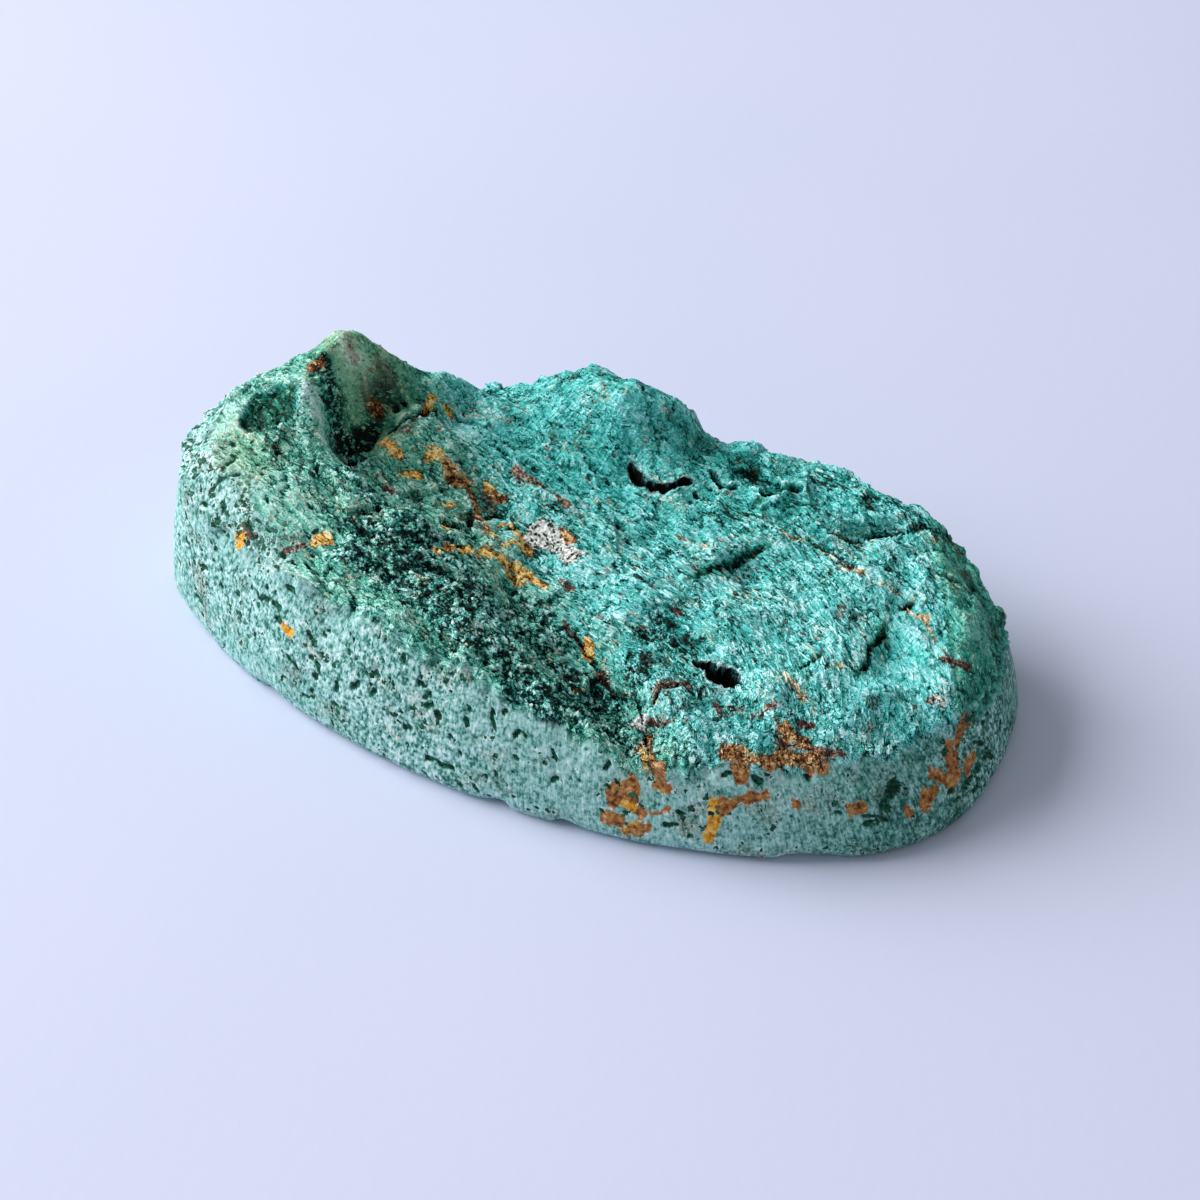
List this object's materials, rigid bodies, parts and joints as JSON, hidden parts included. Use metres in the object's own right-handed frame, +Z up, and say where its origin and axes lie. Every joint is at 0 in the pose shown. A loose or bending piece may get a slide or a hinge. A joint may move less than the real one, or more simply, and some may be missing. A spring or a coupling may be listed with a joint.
{
  "type": "azurite mineral specimen",
  "caption": "Oblong blue-green copper-ore stone, ground smooth round its side and flat below, with a rough broken top that rises to a peak near one end.",
  "frame": {"origin": "middle of the stone's plan on the flat base it rests on", "axes": "+X along the stone to its blunt low end, +Y to its high back edge, +Z up from the base"},
  "size_m": [0.06, 0.0312, 0.0176],
  "materials": {
    "stone": "granular and dull on the broken face, fine-ground and slightly satin round the side"
  },
  "bodies": {
    "root": {"stone": "stone"}
  },
  "joints": []
}
